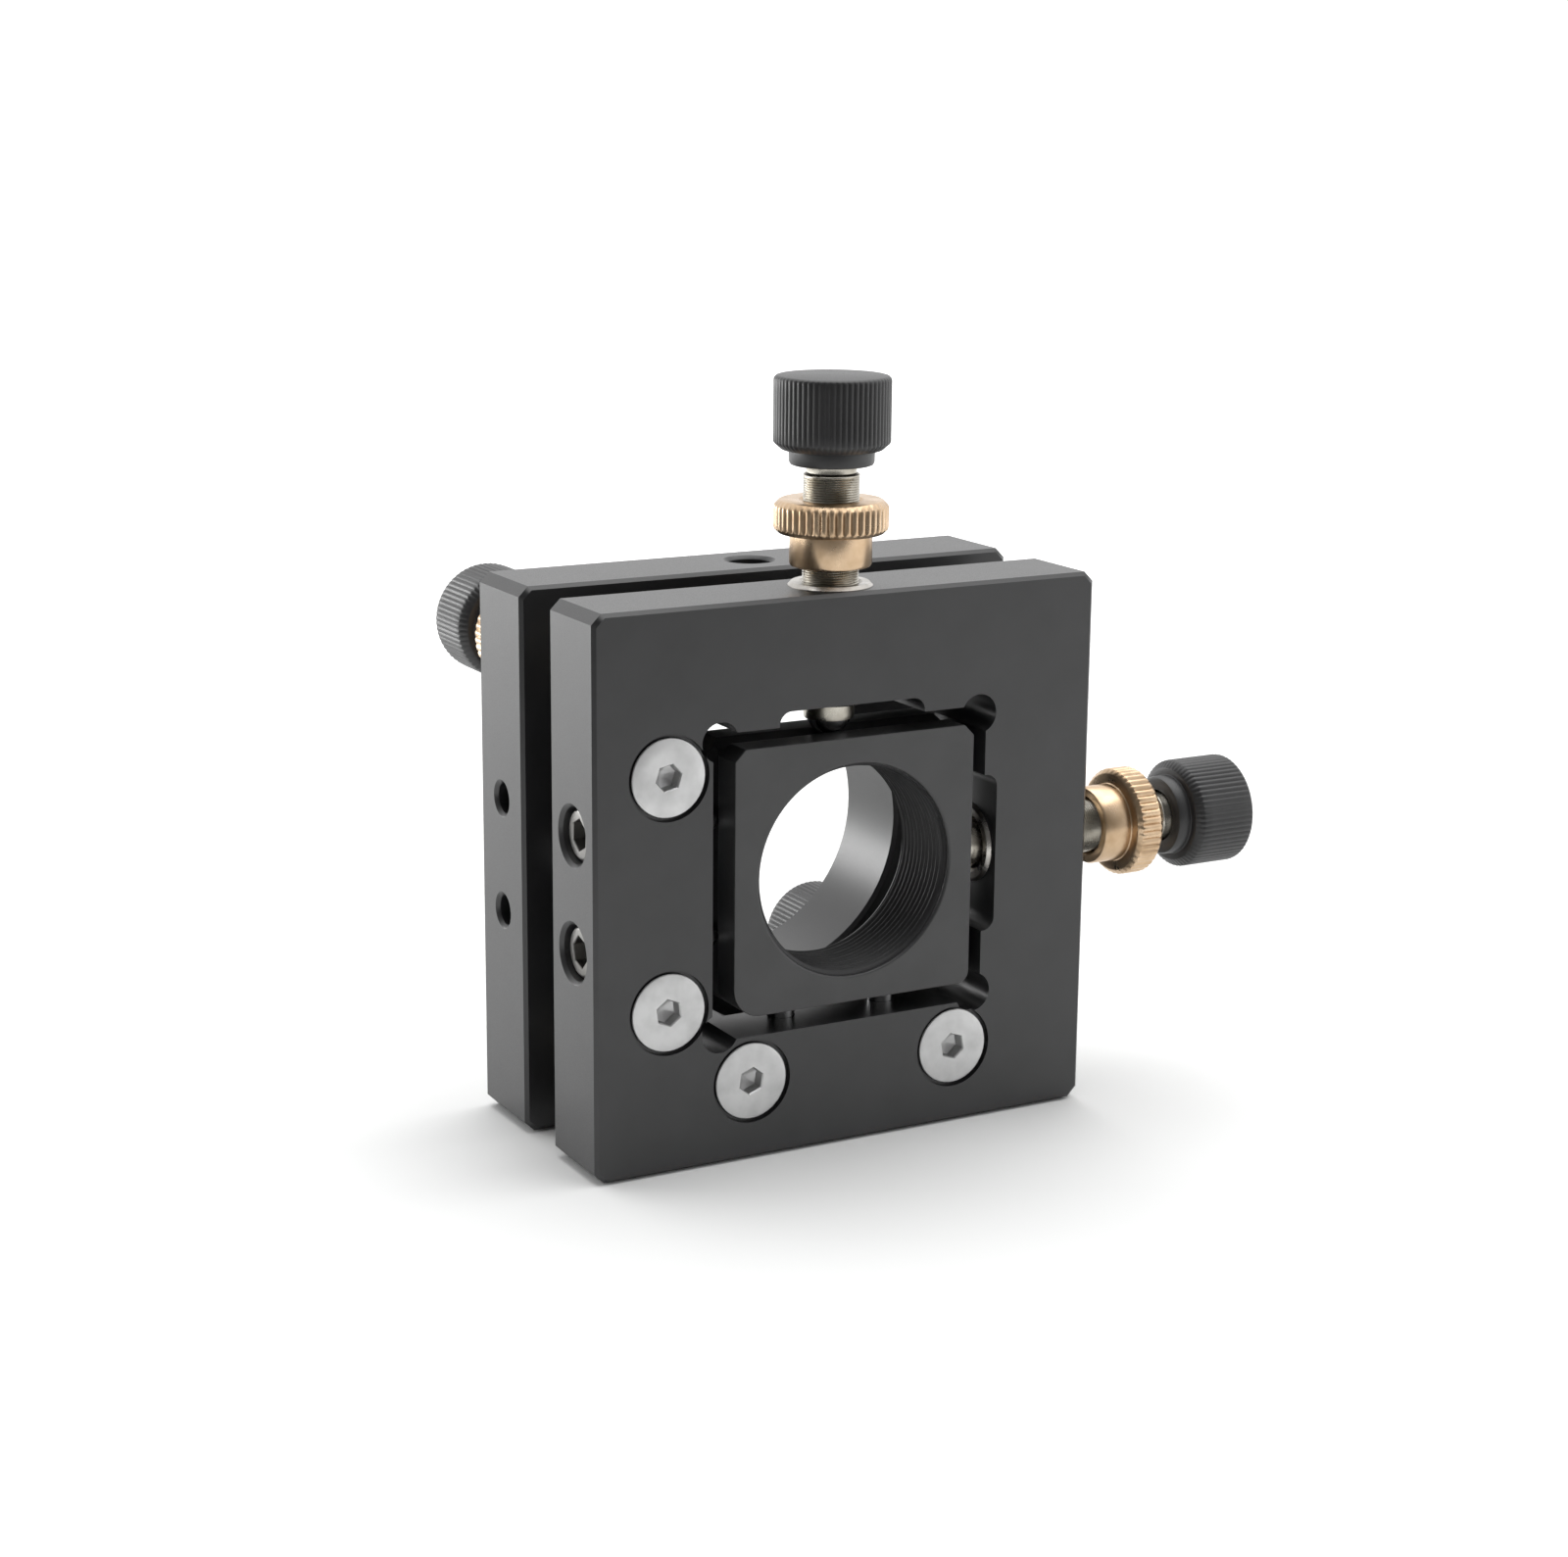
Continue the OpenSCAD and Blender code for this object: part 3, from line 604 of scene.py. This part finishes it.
def fine_screw(axis, facing, body):
    """The adjusting screw, from its nose round the tip ball to its socket in the knob."""
    centre, spans, _, _ = adjuster_parts(axis, facing)
    neck = spans["knob"][0]
    shank = neck - 0.95
    first = 3.3
    turns = (shank - first) / SCREW_PITCH
    piece = turned(
        axis + "_fine_screw",
        [
            (2.45, -0.1), (2.56, -0.5), (2.64, -0.48), (2.72, 0.0), (2.72, 2.55), (3.0, 2.95), (3.0, first),
            (3.0, shank, int(turns * 5)), (2.66, shank + 0.22), (2.66, neck - 0.02), (2.9, neck + 0.4),
            (0, neck + 0.5), (0, 2.5), (2.0, 1.4), (2.4, 0.6),
        ],
        40,
        SCREW_STEEL,
    )
    run_tree(
        piece, THREAD, Pitch=SCREW_PITCH * MM, Thread_depth=0.11 * MM, From=first * MM, To=shank * MM,
        Fade=0.3 * MM, Finish=SCREW_STEEL,
    )
    set_in_place(smooth(piece, 50), facing, centre)
    return belongs(piece, body, "screw_steel", axis + "_screw")


for axis, facing in (("z", "up"), ("x", "right"), ("pitch", "rear"), ("yaw", "rear")):
    knob(axis, facing, axis + "_drive")
    fine_screw(axis, facing, axis + "_drive")
    lock_nut(axis, facing, axis + "_nut")


# ---------------------------------------------------------------- fasteners


def points_at(name, places):
    mesh = bpy.data.meshes.new(name)
    mesh.from_pydata([Vector(p) for p in places], [], [])
    return add_piece(name, mesh)


def countersunk_screws():
    """Countersunk socket screws: a flat satin head with a hexagon socket, and the plain shank below."""
    low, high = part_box("countersunk_screws")
    depth = (high.y - low.y) / MM
    master = turned(
        "countersunk_master",
        [
            (0, -1.9), (0.5, -1.85), (("hex", 1.25), -1.5), (("hex", 1.25), -0.16), (("hex", 1.36), 0),
            (2.6, 0), (3.98, 0), (4.12, -0.04), (4.19, -0.12), (HEAD_RADIUS, -0.2), (2.0, -2.3),
            (2.0, -depth), (0, -depth),
        ],
        48,
        FASTENER_STEEL,
    )
    smooth(master, 30)
    piece = points_at("countersunk_socket_screws", countersunk_centres())
    run_tree(piece, FASTENERS, Fastener=master, Facing=(math.pi / 2, 0, 0), Seed=4, Finish=FASTENER_STEEL)
    bpy.data.objects.remove(master)
    return belongs(smooth(piece, 30), "front", "fastener_steel", "countersunk_screws")


def set_screws(side, facing, places, seed):
    """Socket set screws: a bevelled end with a hexagon socket and a threaded body."""
    master = turned(
        side + "_set_master",
        [
            (0, -2.2), (0.5, -2.15), (("hex", 1.5), -1.8), (("hex", 1.5), -0.1), (("hex", 1.58), 0),
            (2.35, 0), (2.5, -0.04), (2.98, -0.5), (2.98, -2.85, 12), (2.6, -3.2), (0, -3.2),
        ],
        48,
        SET_STEEL,
    )
    run_tree(
        master, THREAD, Pitch=1.0 * MM, Thread_depth=0.35 * MM, From=-2.9 * MM, To=-0.45 * MM,
        Fade=0.2 * MM, Finish=SET_STEEL,
    )
    smooth(master, 34)
    piece = points_at(side + "_socket_set_screws", places)
    run_tree(piece, FASTENERS, Fastener=master, Facing=facing, Seed=seed, Finish=SET_STEEL)
    bpy.data.objects.remove(master)
    return belongs(smooth(piece, 34), "front", "fastener_steel", side + "_set_screws")


def both_set_screw_pairs():
    """Two set screws in the front frame's left side and two in its underside, all at one depth."""
    radius = 3 * MM
    low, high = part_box("left_set_screws")
    y = (low.y + high.y) / 2
    set_screws("left", (0, -math.pi / 2, 0), [(low.x, y, low.z + radius), (low.x, y, high.z - radius)], 7)
    low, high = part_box("bottom_set_screws")
    set_screws("bottom", (math.pi, 0, 0), [(low.x + radius, y, low.z), (high.x - radius, y, low.z)], 9)


countersunk_screws()
both_set_screw_pairs()


# ---------------------------------------------------------------- springs


def wire_piece(name, paths, radius_mm, sides=12):
    """One piece of round wire along each path."""
    mesh = bpy.data.meshes.new(name)
    points, edges = [], []
    for path in paths:
        edges += [(len(points) + k, len(points) + k + 1) for k in range(len(path) - 1)]
        points += path
    mesh.from_pydata(points, edges, [])
    piece = add_piece(name, mesh)
    run_tree(piece, WIRE, Wire_radius=radius_mm * MM, Sides=sides, Finish=SPRING_STEEL)
    return smooth(piece, 60)


def coil_points(radius, coils, low, high, steps=24):
    """A helix round Z from one height to another."""
    count = int(coils * steps)
    points = []
    for k in range(count + 1):
        turn = math.tau * k / steps
        points.append((radius * math.cos(turn), radius * math.sin(turn), low + (high - low) * k / count))
    return points


def tilt_spring(side, turn):
    """Extension spring: close coils between two hooks, each round its cross pin.

    It crosses both tilt joints, so it is made in two halves that meet in the middle coil.
    """
    low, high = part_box(side + "_tilt_spring")
    centre = (low + high) / 2
    span = (high.y - low.y) / MM
    bend, wire = 1.7, 0.3
    front_hook = wire + bend
    rear_hook = span - wire - bend
    loop = [math.radians(a) for a in range(150, -91, -10)]
    path = [(0, bend * math.cos(a), front_hook - bend * math.sin(a)) for a in loop]
    path += [(0.45, -0.25, front_hook + bend + 0.12), (1.15, -0.35, front_hook + bend + 0.3)]
    path += coil_points(1.9, 13, front_hook + bend + 0.6, rear_hook - bend - 0.6)
    path += [(1.15, 0.35, rear_hook - bend - 0.3), (0.45, 0.25, rear_hook - bend - 0.12)]
    path += [(0, bend * math.cos(a), rear_hook + bend * math.sin(a)) for a in reversed(loop)]
    turned_round = FACING["rear"] @ Matrix.Rotation(turn, 4, "Z") @ Matrix.Scale(MM, 4)
    place = Matrix.Translation((centre.x, low.y, centre.z)) @ turned_round
    half, hook_length = len(path) // 2, 2 * MM
    halves = (
        ("front", path[: half + 1], ("front", "pivot"), low.y + hook_length, centre.y),
        ("rear", path[half:], ("pivot", "base"), centre.y, high.y - hook_length),
    )
    for name, points, bodies, start, end in halves:
        piece = wire_piece(side + "_hooked_spring_" + name, [[place @ Vector(p) for p in points]], wire)
        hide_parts(side + "_tilt_spring")
        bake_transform(piece)


def push_springs(side, along):
    """The two plunger springs of a side, each coiled along the axis numbered by along over the length of the
    side's spring part."""
    low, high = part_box(side + "_push_springs")
    y = (low.y + high.y) / 2
    length = (high[along] - low[along]) / MM
    outer, wire = 2.5 * MM, 0.22
    if along == 0:
        turn = FACING["right"]
        starts = [(low.x + wire * MM, y, z) for z in (low.z + outer, high.z - outer)]
    else:
        turn = FACING["up"]
        starts = [(x, y, low.z + wire * MM) for x in (low.x + outer, high.x - outer)]
    paths = []
    for start in starts:
        place = Matrix.Translation(Vector(start)) @ turn @ Matrix.Scale(MM, 4)
        paths.append([place @ Vector(p) for p in coil_points(2.3, 5, 0, length - 2 * wire)])
    piece = wire_piece(side + "_plunger_springs", paths, wire)
    belongs(piece, "front", "spring_steel", side + "_push_springs")
    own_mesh(piece)


tilt_spring("left", math.pi / 2)
tilt_spring("bottom", 0)
push_springs("left", 0)
push_springs("bottom", 2)


# ---------------------------------------------------------------- pieces kept as they are

KEPT = {
    BUSHING_STEEL: ("x_bushing", "z_bushing", "pitch_bushing", "yaw_bushing"),
    POLISHED_STEEL: (
        "x_tip_ball", "z_tip_ball", "pitch_tip_ball", "yaw_tip_ball", "pivot_ball", "left_plungers",
        "bottom_plungers",
    ),
    SCREW_STEEL: (
        "pivot_post", "cone_seat", "vee_seat", "flat_seat", "front_spring_pins", "rear_spring_pins",
    ),
}
for material, names in KEPT.items():
    for name in names:
        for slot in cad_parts[name].material_slots:
            slot.material = material


# ---------------------------------------------------------------- floor, light and camera


def pale_floor():
    """A white sweep with painted light: a painted glow that grows with distance from the mount leaves painted
    shade near it, and the sweep ends a little way in front of it.
    """
    mesh = bpy.data.meshes.new("pale_floor")
    across, ahead = Vector((0.875, -0.483, 0)), Vector((0.483, 0.875, 0))
    reach, front_edge = 4, -0.165
    corners = [
        across * x + ahead * y
        for x, y in ((-reach, front_edge), (reach, front_edge), (reach, reach), (-reach, reach))
    ]
    mesh.from_pydata(corners, [], [(0, 1, 2, 3)])
    f = Finish("floor_white", (0.9, 0.905, 0.9), 0.8)
    # painted light: emission grows with distance from the mount, so the floor near the mount keeps a painted
    # shade
    length = f.nodes.new("ShaderNodeVectorMath")
    length.operation = "LENGTH"
    f.links.new(f.place, length.inputs[0])
    f.shader.inputs["Emission Color"].default_value = (1, 1, 1, 1)
    painted_glow = f.between(length.outputs["Value"], 0.0, 0.5, 0.1, 0.42)
    f.links.new(painted_glow, f.shader.inputs["Emission Strength"])
    floor = add_piece("pale_floor", mesh, f.material)
    floor.location.z = -0.2 * MM


def soft_box(name, place, aim, width, height, power):
    """A rectangular light at the place, turned to the point that it aims at."""
    light = bpy.data.lights.new(name, "AREA")
    light.shape, light.size, light.size_y = "RECTANGLE", width, height
    light.energy = power
    lamp = bpy.data.objects.new(name, light)
    bpy.context.scene.collection.objects.link(lamp)
    lamp.location = place
    lamp.rotation_euler = (Vector(aim) - Vector(place)).to_track_quat("-Z", "Y").to_euler()


def studio():
    """A bright room behind the mount, a darker one in front, and soft boxes above and at the left."""
    world = bpy.data.worlds.new("white_room")
    bpy.context.scene.world = world
    world.use_nodes = True
    nodes, links = world.node_tree.nodes, world.node_tree.links
    seen, lit = nodes["Background"], nodes.new("ShaderNodeBackground")
    seen.inputs["Color"].default_value = (1, 1, 1, 1)
    seen.inputs["Strength"].default_value = 1.05
    way = nodes.new("ShaderNodeTexCoord").outputs["Generated"]
    facing = nodes.new("ShaderNodeVectorMath")
    facing.operation = "DOT_PRODUCT"
    facing.inputs[1].default_value = (0.75, 0.66, 0.0)
    links.new(way, facing.inputs[0])
    fade = nodes.new("ShaderNodeMapRange")
    for key, number in (("From Min", -0.55), ("From Max", 0.1), ("To Min", 0.22), ("To Max", 1.55)):
        fade.inputs[key].default_value = number
    links.new(facing.outputs["Value"], fade.inputs["Value"])
    links.new(fade.outputs["Result"], lit.inputs["Strength"])
    ray, mix = nodes.new("ShaderNodeLightPath"), nodes.new("ShaderNodeMixShader")
    links.new(ray.outputs["Is Camera Ray"], mix.inputs["Fac"])
    links.new(lit.outputs["Background"], mix.inputs[1])
    links.new(seen.outputs["Background"], mix.inputs[2])
    links.new(mix.outputs["Shader"], nodes["World Output"].inputs["Surface"])
    middle = (0, -0.01, 0.03)
    soft_box("top_box", (0.12, 0.10, 0.75), middle, 0.8, 0.8, 4.0)
    soft_box("left_box", (-0.62, 0.72, 0.05), middle, 0.8, 0.45, 8.0)


def camera():
    """Looks from the left of the front, a little above."""
    azimuth, elevation, roll = math.radians(-28.923), math.radians(13.600), math.radians(0.526)
    target, distance = Vector((-2.702, -13.2, 38.304)) * MM, 0.317731
    level = math.cos(elevation)
    back = Vector((math.sin(azimuth) * level, -math.cos(azimuth) * level, math.sin(elevation)))
    right = (-back).cross(Vector((0, 0, 1))).normalized()
    up = right.cross(-back)
    side = right * math.cos(roll) + up * math.sin(roll)
    top = up * math.cos(roll) - right * math.sin(roll)
    data = bpy.data.cameras.new("camera")
    data.sensor_width, data.lens = 36.0, 67.7534625
    data.clip_start, data.clip_end = 0.01, 50.0
    eye = bpy.data.objects.new("camera", data)
    bpy.context.scene.collection.objects.link(eye)
    looking = Matrix((side, top, back)).transposed().to_4x4()
    eye.matrix_world = Matrix.Translation(target + back * distance) @ looking
    bpy.context.scene.camera = eye


pale_floor()
studio()
camera()
bpy.context.scene.view_settings.view_transform = "Standard"
